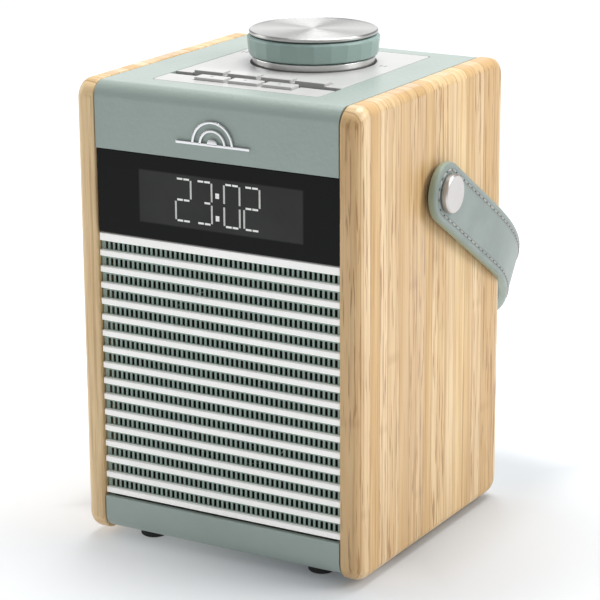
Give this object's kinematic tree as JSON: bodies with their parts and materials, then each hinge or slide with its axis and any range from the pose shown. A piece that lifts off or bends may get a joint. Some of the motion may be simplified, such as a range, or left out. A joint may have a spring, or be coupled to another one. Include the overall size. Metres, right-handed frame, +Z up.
{
  "type": "tabletop radio",
  "caption": "Compact tabletop radio with wooden side panels, clock display, slotted speaker front, key plate, large knob and a swinging leather strap.",
  "frame": {"origin": "middle of the bounding box's footprint, on the surface the feet stand on", "axes": "+Z up, the display and grille face -Y, +X to the right seen from the front"},
  "size_m": [0.1312, 0.1838, 0.185],
  "materials": {
    "timber": "oiled laminated bamboo",
    "case_plastic": "fine satin, pale green",
    "grille_plastic": "satin green",
    "bar_plastic": "satin white",
    "gloss_black": "high gloss black",
    "display_glass": "tinted",
    "black_plastic": "matt black",
    "fibreboard": "plain board",
    "steel": "plated",
    "satin_steel": "satin turned",
    "rubber": "matt",
    "speaker_paper": "pressed paper",
    "plate_plastic": "satin white",
    "key_plastic": "satin white",
    "ring_plastic": "satin green with a light edge",
    "spun_aluminium": "spun, concentric lines",
    "circuit_board": "solder mask",
    "battery": "film wrapped",
    "chrome": "polished",
    "leather": "stitched, painted edges"
  },
  "bodies": {
    "case": {"left_side_panel": "timber", "right_side_panel": "timber", "top_shell": "case_plastic", "bottom_shell": "case_plastic", "rear_cover": "case_plastic", "grille_panel": "grille_plastic", "grille_bars": "bar_plastic", "display_window": "gloss_black", "lcd_glass": "display_glass", "lcd_housing": "black_plastic", "encoder_body": "black_plastic", "headphone_socket": "black_plastic", "aerial_base": "black_plastic", "left_washer": "black_plastic", "right_washer": "black_plastic", "front_baffle": "fibreboard", "speaker_basket": "steel", "speaker_magnet": "steel", "tuner_shield": "steel", "left_stud_nut": "steel", "right_stud_nut": "steel", "power_socket": "steel", "left_stud": "satin_steel", "right_stud": "satin_steel", "speaker_surround": "rubber", "foot_front_left": "rubber", "foot_front_right": "rubber", "foot_rear_left": "rubber", "foot_rear_right": "rubber", "speaker_cone": "speaker_paper", "speaker_dust_cap": "speaker_paper", "control_plate": "plate_plastic", "key_board": "circuit_board", "main_board": "circuit_board", "battery_pack": "battery", "rear_screw_left_lower": "steel", "rear_screw_left_upper": "steel", "rear_screw_right_lower": "steel", "rear_screw_right_upper": "steel", "badge_emblem": "chrome"},
    "strap": {"handle_strap": "leather"},
    "knob_plunger": {"encoder_plunger": "black_plastic"},
    "knob": {"knob_base": "satin_steel", "knob_ring": "ring_plastic", "knob_cap": "spun_aluminium", "encoder_shaft": "steel"},
    "rear_key_1": {"rear_key_1": "key_plastic"},
    "rear_key_2": {"rear_key_2": "key_plastic"},
    "rear_key_3": {"rear_key_3": "key_plastic"},
    "rear_key_4": {"rear_key_4": "key_plastic"},
    "front_key_1": {"front_key_1": "key_plastic"},
    "front_key_2": {"front_key_2": "key_plastic"},
    "front_key_3": {"front_key_3": "key_plastic"},
    "battery_door": {"battery_door": "case_plastic"},
    "aerial_elbow": {"aerial_elbow": "steel"},
    "aerial_outer": {"aerial_outer": "chrome"},
    "aerial_middle": {"aerial_middle": "chrome"},
    "aerial_tip": {"aerial_tip": "chrome"}
  },
  "joints": [
    {"name": "strap_swing", "type": "hinge", "parent": "case", "child": "strap", "pos_m": [0, -0.03395, 0.1329], "axis": [1, 0, 0], "range_deg": [0, 240]},
    {"name": "knob_press", "type": "slide", "parent": "case", "child": "knob_plunger", "axis": [0, 0, -1], "range_m": [0, 0.0008], "stiffness_N_per_m": 900, "springref_m": -0.0016},
    {"name": "knob_turn", "type": "hinge", "parent": "knob_plunger", "child": "knob", "pos_m": [0, -0.02065, 0.1727], "axis": [0, 0, 1], "continuous": true},
    {"name": "rear_key_1_press", "type": "slide", "parent": "case", "child": "rear_key_1", "axis": [0, 0, -1], "range_m": [0, 0.0008], "stiffness_N_per_m": 500, "springref_m": -0.0008},
    {"name": "rear_key_2_press", "type": "slide", "parent": "case", "child": "rear_key_2", "axis": [0, 0, -1], "range_m": [0, 0.0008], "stiffness_N_per_m": 500, "springref_m": -0.0008},
    {"name": "rear_key_3_press", "type": "slide", "parent": "case", "child": "rear_key_3", "axis": [0, 0, -1], "range_m": [0, 0.0008], "stiffness_N_per_m": 500, "springref_m": -0.0008},
    {"name": "rear_key_4_press", "type": "slide", "parent": "case", "child": "rear_key_4", "axis": [0, 0, -1], "range_m": [0, 0.0008], "stiffness_N_per_m": 500, "springref_m": -0.0008},
    {"name": "front_key_1_press", "type": "slide", "parent": "case", "child": "front_key_1", "axis": [0, 0, -1], "range_m": [0, 0.0008], "stiffness_N_per_m": 500, "springref_m": -0.0008},
    {"name": "front_key_2_press", "type": "slide", "parent": "case", "child": "front_key_2", "axis": [0, 0, -1], "range_m": [0, 0.0008], "stiffness_N_per_m": 500, "springref_m": -0.0008},
    {"name": "front_key_3_press", "type": "slide", "parent": "case", "child": "front_key_3", "axis": [0, 0, -1], "range_m": [0, 0.0008], "stiffness_N_per_m": 500, "springref_m": -0.0008},
    {"name": "battery_door_remove", "type": "slide", "parent": "case", "child": "battery_door", "axis": [0, 1, 0], "range_m": [0, 0.03]},
    {"name": "aerial_swivel", "type": "hinge", "parent": "case", "child": "aerial_elbow", "pos_m": [-0.038, 0.02285, 0.1527], "axis": [0, -1, 0], "range_deg": [0, 180]},
    {"name": "aerial_tilt", "type": "hinge", "parent": "aerial_elbow", "child": "aerial_outer", "pos_m": [-0.038, 0.0263, 0.1527], "axis": [1, 0, 0], "range_deg": [0, 90]},
    {"name": "aerial_extend_middle", "type": "slide", "parent": "aerial_outer", "child": "aerial_middle", "axis": [0, 0, -1], "range_m": [0, 0.036]},
    {"name": "aerial_extend_tip", "type": "slide", "parent": "aerial_middle", "child": "aerial_tip", "axis": [0, 0, -1], "range_m": [0, 0.036]}
  ]
}
